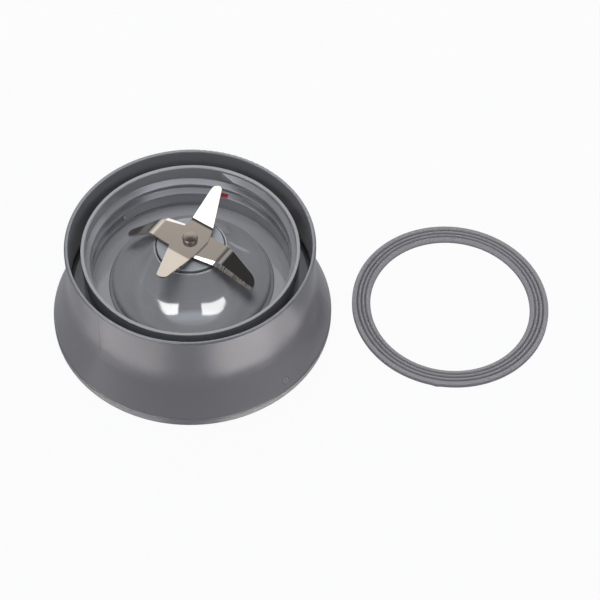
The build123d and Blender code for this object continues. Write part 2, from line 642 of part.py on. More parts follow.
def make_upper_blade():
    """Blade with both arms bent up, ground underneath."""
    return make_blade(
        UPPER_BLADE_TOP, UPPER_HEADING, UPPER_BEND_OFFSET, UPPER_BEND_ANGLE, UPPER_ARM_LENGTH,
        UPPER_WAIST_OFFSET, (UPPER_WAIST_LEADING, UPPER_WAIST_TRAILING),
        (UPPER_BEND_LEADING, UPPER_BEND_TRAILING), (UPPER_TIP_LEADING, UPPER_TIP_TRAILING), -1)


def make_thrust_washer():
    """Washer that runs against the housing's lower end."""
    inner = SPINDLE_RADIUS + SHANK_CLEARANCE
    return ring(inner, THRUST_WASHER_RADIUS, THRUST_WASHER_BOTTOM, THRUST_WASHER_TOP)


def make_retaining_ring():
    """Open snap ring in the spindle's groove."""
    inner = SPINDLE_RADIUS - RETAINING_GROOVE_DEPTH + FIT_GAP
    snap = ring(inner, RETAINING_RING_RADIUS, RETAINING_RING_BOTTOM, THRUST_WASHER_BOTTOM)
    opening_length = RETAINING_RING_RADIUS + OVERRUN
    opening = Pos(opening_length / 2, 0, 0) * Rectangle(opening_length, RETAINING_RING_OPENING)
    return snap - prism(opening, RETAINING_RING_BOTTOM - OVERRUN, THRUST_WASHER_BOTTOM + OVERRUN)


def make_drive_coupling():
    """Moulded coupling with a star socket for the motor's dog."""
    low_edge = (COUPLING_RADIUS - COUPLING_CHAMFER, COUPLING_BOTTOM)
    high_edge = (COUPLING_RADIUS - COUPLING_CHAMFER, COUPLING_TOP)
    body = turned([
        (0, COUPLING_BOTTOM), low_edge, (COUPLING_RADIUS, COUPLING_BOTTOM + COUPLING_CHAMFER),
        (COUPLING_RADIUS, COUPLING_TOP - COUPLING_CHAMFER), high_edge, (0, COUPLING_TOP),
    ])
    star = Circle(SOCKET_CORE_RADIUS)
    lobe = Pos(SOCKET_LOBE_RADIUS / 2, 0, 0) * Rectangle(SOCKET_LOBE_RADIUS, SOCKET_LOBE_WIDTH)
    for index in range(SOCKET_LOBES):
        star += Rot(0, 0, index * 360 / SOCKET_LOBES) * lobe
    body -= prism(star, COUPLING_BOTTOM - OVERRUN, COUPLING_TOP - SOCKET_ROOF)
    return body - prism(hexagon(INSERT_ACROSS_FLATS), COUPLING_BOTTOM, COUPLING_TOP + OVERRUN)


def make_coupling_insert():
    """Brass hexagon moulded into the coupling, on the spindle's lower flats."""
    hole = flatted(DRIVE_RADIUS + SHANK_CLEARANCE, DRIVE_FLATS + 2 * SHANK_CLEARANCE)
    return prism(hexagon(INSERT_ACROSS_FLATS - 2 * FIT_GAP) - hole, INSERT_BOTTOM, COUPLING_TOP)


def make_lock_washer():
    """Split washer under the coupling nut."""
    washer = ring(TAIL_RADIUS + SHANK_CLEARANCE, LOCK_WASHER_RADIUS, LOCK_WASHER_BOTTOM, INSERT_BOTTOM)
    slit_length = LOCK_WASHER_RADIUS + OVERRUN
    slit = Pos(slit_length / 2, 0, 0) * Rectangle(slit_length, LOCK_WASHER_SLIT)
    return washer - prism(slit, LOCK_WASHER_BOTTOM - OVERRUN, INSERT_BOTTOM + OVERRUN)


def make_coupling_nut():
    """Small hexagon nut on the spindle's threaded tail."""
    return chamfered_nut(
        COUPLING_NUT_ACROSS_FLATS, TAIL_RADIUS + FIT_GAP, COUPLING_NUT_BOTTOM, LOCK_WASHER_BOTTOM)


def make_sealing_ring():
    """Rubber ring with three ribs on its face, lying beside the collar."""
    outer = LAND_RADIUS + RING_SQUEEZE
    inner = outer - RING_WIDTH
    top = RING_THICKNESS + RING_RIB_HEIGHT
    face = [(inner, 0), (outer, 0), (outer, RING_THICKNESS)]
    for place in RING_RIB_PLACES:
        middle = outer - place
        face += [
            (middle + RING_RIB_BASE / 2, RING_THICKNESS), (middle + RING_RIB_TOP / 2, top),
            (middle - RING_RIB_TOP / 2, top), (middle - RING_RIB_BASE / 2, RING_THICKNESS),
        ]
    seal = turned(face + [(inner, RING_THICKNESS)])
    nub_width = 2 * RING_NUB_DEPTH + RING_NUB_LENGTH
    nub = Pos(outer - RING_NUB_LENGTH / 2 + RING_NUB_DEPTH, 0, 0) * SlotOverall(nub_width, RING_NUB_LENGTH)
    seal += Rot(0, 0, RING_NUB_ANGLE) * prism(nub, 0, RING_THICKNESS)
    return Pos(COLLAR_BASE_RADIUS + RING_APART + outer, RING_FORWARD, 0) * seal


PIECES = {
    "outer_collar": make_outer_collar,
    "threaded_cup": make_threaded_cup,
    "collar_screws": make_collar_screws,
    "bearing_housing": make_bearing_housing,
    "housing_gasket": make_housing_gasket,
    "housing_washer": make_housing_washer,
    "housing_nut": make_housing_nut,
    "upper_bush": lambda: make_bush(UPPER_BUSH_BOTTOM),
    "lower_bush": lambda: make_bush(HOUSING_BOTTOM),
    "shaft_seal": make_shaft_seal,
    "spindle": make_spindle,
    "blade_spacer": make_blade_spacer,
    "lower_blade": make_lower_blade,
    "upper_blade": make_upper_blade,
    "thrust_washer": make_thrust_washer,
    "retaining_ring": make_retaining_ring,
    "drive_coupling": make_drive_coupling,
    "coupling_insert": make_coupling_insert,
    "lock_washer": make_lock_washer,
    "coupling_nut": make_coupling_nut,
    "sealing_ring": make_sealing_ring,
}


def main():
    """Build every piece and write it to its own file."""
    os.makedirs("parts", exist_ok=True)
    for name, make in PIECES.items():
        export_step(make(), os.path.join("parts", name + ".step"))


main()
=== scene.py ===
"""Finish and studio of a blender blade unit, with its sealing ring laid beside it.

Places are in metres in the frame of the solids: the origin is on the blades' spin axis, on the table,
with +X towards the sealing ring, +Y away from the camera and +Z up.
"""

import json
import logging
import math
from dataclasses import dataclass, replace
from enum import Enum
from typing import Any, Mapping, Sequence, Union

import bpy
from mathutils import Matrix, Vector

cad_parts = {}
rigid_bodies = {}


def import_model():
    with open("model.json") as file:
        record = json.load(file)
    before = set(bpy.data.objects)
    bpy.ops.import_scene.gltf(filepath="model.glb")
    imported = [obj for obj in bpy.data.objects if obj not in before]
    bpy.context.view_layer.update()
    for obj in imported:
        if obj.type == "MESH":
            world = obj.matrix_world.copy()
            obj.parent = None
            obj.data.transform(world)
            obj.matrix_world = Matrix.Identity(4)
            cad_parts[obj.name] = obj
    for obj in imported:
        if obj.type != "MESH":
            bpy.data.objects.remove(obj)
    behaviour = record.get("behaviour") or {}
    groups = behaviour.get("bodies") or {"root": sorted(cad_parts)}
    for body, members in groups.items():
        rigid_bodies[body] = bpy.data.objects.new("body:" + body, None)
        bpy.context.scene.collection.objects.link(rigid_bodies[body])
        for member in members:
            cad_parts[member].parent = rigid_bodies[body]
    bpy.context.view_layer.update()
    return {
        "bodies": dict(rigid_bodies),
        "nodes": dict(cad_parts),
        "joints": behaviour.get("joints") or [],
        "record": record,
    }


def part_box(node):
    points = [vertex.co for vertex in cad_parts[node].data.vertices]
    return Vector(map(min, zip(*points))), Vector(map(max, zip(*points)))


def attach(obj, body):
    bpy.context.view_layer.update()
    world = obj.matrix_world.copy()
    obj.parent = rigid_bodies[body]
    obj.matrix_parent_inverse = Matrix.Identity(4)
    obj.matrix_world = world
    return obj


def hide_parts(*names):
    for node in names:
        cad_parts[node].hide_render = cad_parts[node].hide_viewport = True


MM = 0.001
LOG = logging.getLogger("blade_unit")

Colour = tuple[float, float, float]
Point = tuple[float, float, float]
Range = tuple[float, float]
Socket = Union[str, int]
Level = Union["Signal", float]
Tint = Union["Signal", Colour]

UP: Point = (0.0, 0.0, 1.0)
WHITE: Colour = (1.0, 1.0, 1.0)
COOL_WALL: Colour = (0.92, 0.97, 1.08)
WARM_WALL: Colour = (1.02, 1.0, 0.98)
WARM_LAMP: Colour = (1.0, 0.93, 0.88)
BEVEL_SAMPLES = 6
DARKEST_TONE = 0.5
PALEST_TONE = 1.5
GROOVE_SHAPE: Sequence[Range] = (
    (0.5, 0.0), (0.36, 0.25), (0.18, 0.85), (0.0, 1.0), (-0.18, 0.85), (-0.36, 0.25), (-0.5, 0.0))


class Signal:
    """A value that changes over a surface: a node's output that takes part in Python arithmetic."""

    def __init__(self, shader: "Shader", socket: bpy.types.NodeSocket) -> None:
        """Wrap one output socket of a shader's node tree."""
        self.shader = shader
        self.socket = socket

    def __add__(self, other: Level) -> "Signal":
        """Sum with another value."""
        return self.shader.math("ADD", self, other)

    __radd__ = __add__

    def __sub__(self, other: Level) -> "Signal":
        """This value less another."""
        return self.shader.math("SUBTRACT", self, other)

    def __rsub__(self, other: Level) -> "Signal":
        """Another value less this one."""
        return self.shader.math("SUBTRACT", other, self)

    def __mul__(self, other: Level) -> "Signal":
        """Product with another value."""
        return self.shader.math("MULTIPLY", self, other)

    __rmul__ = __mul__

    def __truediv__(self, other: Level) -> "Signal":
        """This value over another."""
        return self.shader.math("DIVIDE", self, other)

    def __pow__(self, other: Level) -> "Signal":
        """This value to a power."""
        return self.shader.math("POWER", self, other)

    def __abs__(self) -> "Signal":
        """Size of this value without its sign."""
        return self.shader.math("ABSOLUTE", self)

    def least(self, other: Level) -> "Signal":
        """The smaller of two values."""
        return self.shader.math("MINIMUM", self, other)

    def most(self, other: Level) -> "Signal":
        """The larger of two values."""
        return self.shader.math("MAXIMUM", self, other)

    def rise(self, start: float, end: float) -> "Signal":
        """Smooth step from 0 at start to 1 at end, where start may be the larger."""
        return self.shader.node("ShaderNodeMapRange", {"interpolation_type": "SMOOTHSTEP"},
                                {"Value": self, "From Min": start, "From Max": end})

    def between(self, low: float, high: float, edge: float) -> "Signal":
        """One between two limits and zero beyond them, with soft edges of a width."""
        return self.rise(low, low + edge) * self.rise(high, high - edge)


class Shader:
    """Node tree of one material or world, with a method for each way of adding to it."""

    def __init__(self, tree: bpy.types.NodeTree) -> None:
        """Take over a node tree and empty it."""
        self.tree = tree
        self.tree.nodes.clear()

    def node(self, kind: str, settings: Mapping[str, Any], sockets: Mapping[Socket, Any],
             result: Socket = 0) -> Signal:
        """Add one node.

        Args:
            kind: The node's type.
            settings: Its own properties, set before its sockets.
            sockets: A value or a signal for each input, by name or number.
            result: The output that is wanted, by name or number.

        Returns:
            The wanted output.
        """
        made = self.tree.nodes.new(kind)
        for name, value in settings.items():
            setattr(made, name, value)
        for name, value in sockets.items():
            if isinstance(value, Signal):
                self.tree.links.new(value.socket, made.inputs[name])
            else:
                made.inputs[name].default_value = value
        return Signal(self, made.outputs[result])

    def math(self, operation: str, *values: Level) -> Signal:
        """Number from one or two others."""
        return self.node("ShaderNodeMath", {"operation": operation}, dict(enumerate(values)))

    def vector(self, operation: str, *values: Any, result: Socket = 0) -> Signal:
        """Vector or number from one or two vectors, each a point or a signal."""
        return self.node("ShaderNodeVectorMath", {"operation": operation}, dict(enumerate(values)), result)

    def place(self) -> Signal:
        """Point on the surface, in the frame of the solids."""
        return self.node("ShaderNodeTexCoord", {}, {}, "Object")

    def facing(self) -> Signal:
        """Direction that the surface faces, in the frame of the solids."""
        return self.node("ShaderNodeTexCoord", {}, {}, "Normal")

    def along(self, vector: Signal, direction: Any) -> Signal:
        """Part of a vector along a direction, given as a point or a signal."""
        return self.vector("DOT_PRODUCT", vector, direction, result="Value")

    def outward(self) -> Signal:
        """Compare the way that the surface faces with the spin axis.

        Returns:
            From -1 where it faces the axis to 1 where it faces away.
        """
        level = self.vector("MULTIPLY", self.place(), (1.0, 1.0, 0.0))
        radial = self.vector("NORMALIZE", level)
        return self.along(self.facing(), radial)

    def distance(self, vector: Signal, point: Point) -> Signal:
        """Distance of a point on the surface from a fixed one."""
        return self.vector("DISTANCE", vector, point, result="Value")

    def stretched(self, vector: Signal, heading: float, scale: Point) -> Signal:
        """Coordinates turned to a heading in degrees about the spin axis, then scaled along each axis."""
        turned = self.node("ShaderNodeVectorRotate", {"rotation_type": "Z_AXIS"},
                           {"Vector": vector, "Angle": -math.radians(heading)})
        return self.vector("MULTIPLY", turned, scale)

    def noise(self, vector: Signal, size: float, detail: float = 2.0) -> Signal:
        """Noise from 0 to 1 whose features have a size in metres."""
        sockets = {"Vector": vector, "Scale": 1 / size, "Detail": detail}
        return self.node("ShaderNodeTexNoise", {}, sockets)

    def blend(self, share: Level, first: Tint, second: Tint) -> Signal:
        """Colour between two others."""
        colours = {6: opaque(first), 7: opaque(second)}
        return self.node("ShaderNodeMix", {"data_type": "RGBA"}, {0: share, **colours}, 2)

    def toned(self, tone: Signal, colour: Colour) -> Signal:
        """Colour times a tone, between the darkest and the palest."""
        share = (tone - DARKEST_TONE).least(PALEST_TONE - DARKEST_TONE)
        return self.blend(share, scaled(colour, DARKEST_TONE), scaled(colour, PALEST_TONE))

    def bump(self, height: Signal, depth: float, edge_round: float = 0.0) -> Signal:
        """Raise the surface and ease its edges.

        Args:
            height: The pattern that is raised.
            depth: How far a height of 1 is raised, in metres.
            edge_round: The radius of the eased edges, or 0 to leave them sharp.

        Returns:
            The normal of the raised surface.
        """
        sockets = {"Height": height, "Distance": depth}
        if edge_round:
            eased = self.node("ShaderNodeBevel", {"samples": BEVEL_SAMPLES}, {"Radius": edge_round})
            sockets["Normal"] = eased
        return self.node("ShaderNodeBump", {}, sockets)

    def surface(self, sockets: Mapping[Socket, Any]) -> None:
        """Finish the tree with one principled surface."""
        made = self.node("ShaderNodeBsdfPrincipled", {}, sockets)
        self.node_output("ShaderNodeOutputMaterial", made)

    def node_output(self, kind: str, shading: Signal) -> None:
        """Link a shading to the tree's output."""
        output = self.tree.nodes.new(kind)
        self.tree.links.new(shading.socket, output.inputs["Surface"])


def opaque(colour: Tint) -> Any:
    """Colour with an alpha of 1, or a signal as it is."""
    return colour if isinstance(colour, Signal) else (*colour, 1.0)


def scaled(colour: Colour, factor: float) -> Colour:
    """Colour made lighter or darker by a factor."""
    return tuple(channel * factor for channel in colour)


def new_shader(name: str) -> tuple[bpy.types.Material, Shader]:
    """Start a material.

    Args:
        name: The material's name.

    Returns:
        The material and the shader that fills it.
    """
    material = bpy.data.materials.new(name)
    material.use_nodes = True
    return material, Shader(material.node_tree)


class Grain(Enum):
    """How a metal surface was worked."""

    ROLLED = "rolled"
    TURNED = "turned"
    CAST = "cast"


@dataclass(frozen=True)
class PartingLine:
    """Fine line left where two halves of a mould met, at an angle about the spin axis."""

    angle: float
    width: float
    bottom: float
    top: float

    def mask(self, shader: Shader, place: Signal) -> Signal:
        """Mark the line.

        Args:
            shader: The shader of the surface.
            place: The point on the surface.

        Returns:
            One on the line and zero elsewhere.
        """
        turn = math.radians(self.angle)
        across = abs(shader.along(place, (-math.sin(turn), math.cos(turn), 0.0)))
        outward = shader.along(place, (math.cos(turn), math.sin(turn), 0.0))
        span = shader.along(place, UP).between(self.bottom, self.top, self.width)
        return across.rise(self.width, self.width / 2) * outward.rise(0.0, self.width) * span


@dataclass(frozen=True)
class GateRing:
    """Small ring left by the moulding gate around a point, with a raised ring some of its widths inside it.
    Its colour is painted shade on the ring and a painted highlight on the raised ring.
    """

    centre: Point
    radius: float
    width: float
    burr_and_highlight_inset: float = 1.4

    def mask(self, shader: Shader, place: Signal) -> Signal:
        """One on the ring, which is sunk and darkened with painted shade, and zero elsewhere."""
        off = abs(shader.distance(place, self.centre) - self.radius)
        return off.rise(self.width, self.width / 3)

    def burr_and_highlight(self, shader: Shader, place: Signal) -> Signal:
        """One on the raised ring inside the gate ring, which is raised and made paler as a painted highlight,
        and zero elsewhere.
        """
        off = abs(shader.distance(place, self.centre) - self.radius + self.burr_and_highlight_inset * self.width)
        return off.rise(self.width, self.width / 3)


@dataclass(frozen=True)
class RimHighlight:
    """Painted highlight along the rim: a paler colour on the rim, up to a height."""

    height: float
    fade: float
    colour: Colour

    def mask(self, shader: Shader, place: Signal) -> Signal:
        """One on the rim's painted highlight and zero elsewhere."""
        return shader.along(place, UP).rise(self.height - self.fade, self.height)


@dataclass(frozen=True)
class Groove:
    """Groove round the face of a ring: its distance in from the outer edge, its width and its depth."""

    place: float
    width: float
    depth: float


@dataclass(frozen=True)
class RingGrooveShade:
    """Painted shade in the grooves of a ring that lies a little out of round."""

    centre: Point
    radius: float
    stretch: Point
    grooves: Sequence[Groove]

    def mask(self, shader: Shader, place: Signal) -> Signal:
        """Mark where the grooves are darkened with painted shade.

        Args:
            shader: The shader of the surface.
            place: The point on the surface.

        Returns:
            One at the bottom of the deepest groove and zero between the grooves.
        """
        shrink = (1 / self.stretch[0], 1 / self.stretch[1], 0.0)
        rounded = shader.vector("MULTIPLY", place, shrink)
        centre = tuple(value * share for value, share in zip(self.centre, shrink))
        inward = self.radius - shader.distance(rounded, centre)
        deepest = max(groove.depth for groove in self.grooves)
        return sum(abs(inward - groove.place).rise(groove.width / 2, 0.0) * (groove.depth / deepest)
                   for groove in self.grooves)


@dataclass(frozen=True)
class PaintedDash:
    """Dash of paint on the inside of a round wall, between two angles and two heights, beyond a reach."""

    start: float
    end: float
    bottom: float
    top: float
    reach: float
    edge: float

    def mask(self, shader: Shader, place: Signal) -> Signal:
        """Mark the dash.

        Args:
            shader: The shader of the surface.
            place: The point on the surface.

        Returns:
            One on the dash and zero elsewhere.
        """
        first, last = math.radians(self.start), math.radians(self.end)
        middle = (first + last) / 2
        after = shader.along(place, (-math.sin(first), math.cos(first), 0.0))
        before = shader.along(place, (math.sin(last), -math.cos(last), 0.0))
        outward = shader.along(place, (math.cos(middle), math.sin(middle), 0.0))
        span = shader.along(place, UP).between(self.bottom, self.top, self.edge)
        wall = outward.rise(self.reach, self.reach + self.edge)
        return after.rise(0.0, self.edge) * before.rise(0.0, self.edge) * span * wall


@dataclass(frozen=True)
class MouldedPlastic:
    """Grey moulded plastic with fine flakes, a slight flow pattern and its mould's marks."""

    name: str
    colour: Colour
    roughness: float
    metallic: float
    flake_size: float
    flake_contrast: float
    flow_size: float
    flow_contrast: float
    grain_depth: float
    specular: float = 0.5
    index: float = 1.5
    parting: PartingLine | None = None
    gate: GateRing | None = None
    dash: PaintedDash | None = None
    dash_colour: Colour = (0.24, 0.008, 0.012)
    dash_roughness: float = 0.4
    dash_metallic: float = 0.85
    mark_depth: float = 0.14 * MM
    bare_inside: bool = False
    flaked_facing: Range = (-0.5, -0.1)
    edge_round: float = 0.0
    rim: RimHighlight | None = None
    swirl: float = 0.0
    swirl_size: float = 1.3 * MM
    swirl_centre: Point = (0.0, 0.0, 40 * MM)
    flow_roughness: float = 0.06
    flake_roughness: float = 0.08
    parting_shade: float = 0.28
    # darkening of the gate ring (painted shade) and lightening of the raised ring inside it (painted
    # highlight)
    gate_painted_shade: float = 0.25
    burr_painted_highlight: float = 0.45

    def material(self) -> bpy.types.Material:
        """Make the material.

        Returns:
            The new material.
        """
        made, shader = new_shader(self.name)
        place = shader.place()
        flake = shader.noise(place, self.flake_size)
        flow = shader.noise(place, self.flow_size, 3.0)
        tone = 1.0 + (flake - 0.5) * self.flake_contrast + (flow - 0.5) * self.flow_contrast
        if self.swirl:
            radius = shader.distance(place, self.swirl_centre)
            rings = shader.noise(shader.node("ShaderNodeCombineXYZ", {}, {"X": radius}), self.swirl_size, 3.0)
            tone = tone + (rings - 0.5) * self.swirl
        height = flake * self.grain_depth
        if self.parting:
            line = self.parting.mask(shader, place)
            tone = tone * (1.0 - self.parting_shade * line)
            height = height + line * self.mark_depth
        if self.gate:
            ring = self.gate.mask(shader, place)
            burr_and_highlight = self.gate.burr_and_highlight(shader, place)
            # painted shade darkens the gate ring and a painted highlight lightens the raised ring inside it
            tone = tone * (1.0 - self.gate_painted_shade * ring + self.burr_painted_highlight * burr_and_highlight)
            height = height + (burr_and_highlight - ring) * self.mark_depth
        colour = shader.toned(tone, self.colour)
        # painted highlight: the colour at the top edge is blended towards a pale bluish colour
        if self.rim:
            colour = shader.blend(self.rim.mask(shader, place), colour, self.rim.colour)
        roughness = self.roughness + (flow - 0.5) * self.flow_roughness + (flake - 0.5) * self.flake_roughness
        metallic = self.metallic
        if self.bare_inside:
            metallic = shader.outward().rise(*self.flaked_facing) * self.metallic
        if self.dash:
            paint = self.dash.mask(shader, place)
            colour = shader.blend(paint, colour, self.dash_colour)
            roughness = roughness + paint * self.dash_roughness
            metallic = paint * self.dash_metallic
        shader.surface({
            "Base Color": colour,
            "Roughness": roughness,
            "Metallic": metallic,
            "Specular IOR Level": self.specular,
            "IOR": self.index,
            "Normal": shader.bump(height / MM, MM, self.edge_round),
        })
        return made


@dataclass(frozen=True)
class WorkedMetal:
    """Bare or plated metal with the fine lines of how it was worked, and ground bevels where it has them.
    Bevels that face less upwards take a darker, striated colour, which is a painted dark reflection.
    """

    name: str
    colour: Colour
    roughness: float
    grain: Grain
    grain_size: float
    grain_depth: float
    contrast: float
    metallic: float = 1.0
    heading: float = 0.0
    stretch: float = 40.0
    spread: float = 0.25
    line_roughness: float = 0.16
    cloud_size: float = 9 * MM
    cloud_contrast: float = 0.10
    cloud_roughness: float = 0.06
    least_roughness: float = 0.04
    ground_share: float = 0.0
    ground_colour: Colour = (0.80, 0.78, 0.75)
    ground_roughness: float = 0.17
    ground_size: float = 0.42 * MM
    ground_depth: float = 3.0
    ground_stretch: Point = (1.0, 0.12, 0.12)
    ground_lean: Range = (0.14, 0.24)
    edge_lean: Range = (0.85, 0.75)
    # darker colour of bevels that face less upwards: a painted dark reflection
    shaded_bevel_colour: Colour = (0.20, 0.185, 0.17)
    hone_roughness: float = 0.46
    shaded_bevel_tilt: Range = (0.88, 0.80)
    streak_level: Range = (0.32, 0.68)
    streak_tones: Range = (0.3, 1.7)
    streak_roughness: float = 0.2

    def lines(self, shader: Shader, place: Signal) -> Signal:
        """Lay the working marks.

        Args:
            shader: The shader of the surface.
            place: The point on the surface.

        Returns:
            A pattern from 0 to 1.
        """
        if self.grain is Grain.ROLLED:
            place = shader.stretched(place, self.heading, (1 / self.stretch, 1.0, 1.0))
        elif self.grain is Grain.TURNED:
            x = shader.along(place, (1.0, 0.0, 0.0))
            y = shader.along(place, (0.0, 1.0, 0.0))
            radius = (x * x + y * y) ** 0.5
            place = shader.node("ShaderNodeCombineXYZ", {}, {"X": radius, "Z": shader.along(place, UP)})
        return shader.noise(place, self.grain_size, 3.0)

    def material(self) -> bpy.types.Material:
        """Make the material.

        Returns:
            The new material.
        """
        made, shader = new_shader(self.name)
        place = shader.place()
        lines = self.lines(shader, place)
        cloud = shader.noise(place, self.cloud_size)
        tone = (lines - 0.5) * self.contrast + (cloud - 0.5) * self.cloud_contrast + 0.5
        dark, pale = scaled(self.colour, 1 - self.spread), scaled(self.colour, 1 + self.spread)
        colour = shader.blend(tone, dark, pale)
        roughness = self.roughness + (lines - 0.5) * self.line_roughness
        roughness = roughness + (cloud - 0.5) * self.cloud_roughness
        if self.ground_share:
            turn = math.radians(self.heading)
            facing = shader.facing()
            across = abs(shader.along(facing, (-math.sin(turn), math.cos(turn), 0.0)))
            share = across.rise(*self.ground_lean) * across.rise(*self.edge_lean) * self.ground_share
            # painted dark reflection: bevels that face less upwards take a darker, striated colour
            honed_and_shaded = share * shader.along(facing, UP).rise(*self.shaded_bevel_tilt)
            wheel_place = shader.stretched(place, self.heading, self.ground_stretch)
            wheel = shader.noise(wheel_place, self.ground_size, 1.0)
            streak = wheel.rise(*self.streak_level)
            dark_shaded_hone, pale_shaded_hone = (scaled(self.shaded_bevel_colour, factor) for factor in self.streak_tones)
            shaded_hone = shader.blend(streak, dark_shaded_hone, pale_shaded_hone)
            colour = shader.blend(honed_and_shaded, shader.blend(share, colour, self.ground_colour), shaded_hone)
            roughness = roughness + share * (self.ground_roughness - self.roughness)
            change = self.hone_roughness - self.ground_roughness + (streak - 0.5) * self.streak_roughness
            roughness = roughness + honed_and_shaded * change
            lines = lines + share * wheel * self.ground_depth
        shader.surface({
            "Base Color": colour,
            "Roughness": roughness.most(self.least_roughness),
            "Metallic": self.metallic,
            "Normal": shader.bump(lines * (self.grain_depth / MM), MM),
        })
        return made


@dataclass(frozen=True)
class MouldedRubber:
    """Matt rubber with a fine skin, a little dust and painted shade in its grooves where it has them."""

    name: str
    colour: Colour
    roughness: float
    skin_size: float
    skin_depth: float
    dust: float
    grooves: RingGrooveShade | None = None
    groove_shade_tone: float = 0.36
    skin_contrast: float = 0.06
    skin_roughness: float = 0.12
    dust_tone: float = 1.5
    dust_spread: float = 60.0
    specular: float = 0.35

    def material(self) -> bpy.types.Material:
        """Make the material.

        Returns:
            The new material.
        """
        made, shader = new_shader(self.name)
        place = shader.place()
        skin = shader.noise(place, self.skin_size, 3.0)
        patch = shader.noise(place, self.dust_spread * self.skin_size)
        share = (patch * self.dust + (skin - 0.5) * self.skin_contrast).most(0.0)
        colour = shader.blend(share, self.colour, scaled(self.colour, self.dust_tone))
        if self.grooves:
            # painted shade: the grooves are darkened towards their bottoms
            groove = self.grooves.mask(shader, place)
            colour = shader.blend(groove, colour, scaled(self.colour, self.groove_shade_tone))
        shader.surface({
            "Base Color": colour,
            "Roughness": self.roughness + (skin - 0.5) * self.skin_roughness,
            "Specular IOR Level": self.specular,
            "Normal": shader.bump(skin * (self.skin_depth / MM), MM),
        })
        return made


Finish = Union[MouldedPlastic, WorkedMetal, MouldedRubber]


@dataclass
class Assembly:
    """Solids that share their making, each with its finish."""

    frame: Mapping[str, Any]

    def dress(self, finish: Finish, *nodes: str) -> None:
        """Give one finish to some solids.

        Args:
            finish: The finish, which makes its own material.
            nodes: The names of the solids.
        """
        material = finish.material()
        for node in nodes:
            self.frame["nodes"][node].material_slots[0].material = material
            LOG.info("%s: %s", node, finish.name)


@dataclass
class Collar(Assembly):
    """Flared satin collar that stands on the motor base, and the screws under its ledge."""

    satin: MouldedPlastic = MouldedPlastic(
        "satin_collar_plastic", (0.247, 0.245, 0.255), 0.30, 0.65, 0.16 * MM, 0.10, 30 * MM, 0.05, 0.004 * MM,
        parting=PartingLine(228.0, 0.16 * MM, 22 * MM, 46 * MM),
        gate=GateRing((41.4 * MM, -41.1 * MM, 7.8 * MM), 1.7 * MM, 0.35 * MM),
        bare_inside=True, edge_round=0.3 * MM)
    screw: WorkedMetal = WorkedMetal(
        "plated_screw_steel", (0.55, 0.55, 0.56), 0.32, Grain.CAST, 0.25 * MM, 0.004 * MM, 0.15)
    # pale bluish colour of the painted highlight along the collar's top edge
    rim_highlight_colour: Colour = (0.27, 0.29, 0.32)
    rim_highlight_fade: float = 0.15 * MM

    def build(self) -> None:
        """Dress the collar, with a painted highlight along its rim, and its screws."""
        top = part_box("outer_collar")[1][2]
        self.dress(replace(self.satin, rim=RimHighlight(top, self.rim_highlight_fade, self.rim_highlight_colour)), "outer_collar")
        self.dress(self.screw, "collar_screws")


@dataclass
class JarCup(Assembly):
    """Glossy cup with the jar's thread and the cone that carries the bearing."""

    gloss: MouldedPlastic = MouldedPlastic(
        "glossy_cup_plastic", (0.235, 0.237, 0.250), 0.07, 0.0, 0.20 * MM, 0.05, 24 * MM, 0.05, 0.001 * MM,
        specular=1.0, index=1.7, edge_round=0.35 * MM, swirl=0.24,
        dash=PaintedDash(71.6, 76.4, 28.5 * MM, 29.9 * MM, 36 * MM, 0.08 * MM))

    def build(self) -> None:
        """Dress the cup."""
        self.dress(self.gloss, "threaded_cup")


@dataclass
class Bearing(Assembly):
    """Housing on the cone, with its seal, bushes, washer and nut."""

    alloy: WorkedMetal = WorkedMetal(
        "satin_housing_alloy", (0.30, 0.315, 0.335), 0.34, Grain.TURNED, 0.10 * MM, 0.004 * MM, 0.20,
        metallic=0.35)
    plated: WorkedMetal = WorkedMetal(
        "plated_fastener_steel", (0.58, 0.58, 0.60), 0.30, Grain.CAST, 0.30 * MM, 0.004 * MM, 0.15)
    bronze: WorkedMetal = WorkedMetal(
        "sintered_bronze", (0.48, 0.31, 0.13), 0.55, Grain.CAST, 0.12 * MM, 0.02 * MM, 0.40)
    rubber: MouldedRubber = MouldedRubber(
        "black_seal_rubber", (0.02, 0.02, 0.021), 0.55, 0.10 * MM, 0.01 * MM, 0.2)

    def build(self) -> None:
        """Dress the housing and what it holds."""
        self.dress(self.alloy, "bearing_housing")
        self.dress(self.plated, "housing_washer", "housing_nut")
        self.dress(self.bronze, "upper_bush", "lower_bush")
        self.dress(self.rubber, "housing_gasket", "shaft_seal")


@dataclass
class BladeSet(Assembly):
    """Two bent blades on the spindle, rolled along their length and ground along their edges."""

    lower: WorkedMetal = WorkedMetal(
        "rolled_lower_blade_steel", (0.55, 0.50, 0.44), 0.11, Grain.ROLLED, 0.06 * MM, 0.0010 * MM, 0.14,
        heading=-32.2, ground_share=1.0)
    upper: WorkedMetal = replace(lower, name="rolled_upper_blade_steel", heading=57.4)
    spindle: WorkedMetal = WorkedMetal(
        "peened_spindle_steel", (0.32, 0.285, 0.25), 0.22, Grain.TURNED, 0.09 * MM, 0.002 * MM, 0.16)

    def build(self) -> None:
        """Dress the blades, their spacer and the spindle."""
        self.dress(self.lower, "lower_blade")
        self.dress(self.upper, "upper_blade")
        self.dress(self.spindle, "spindle", "blade_spacer")


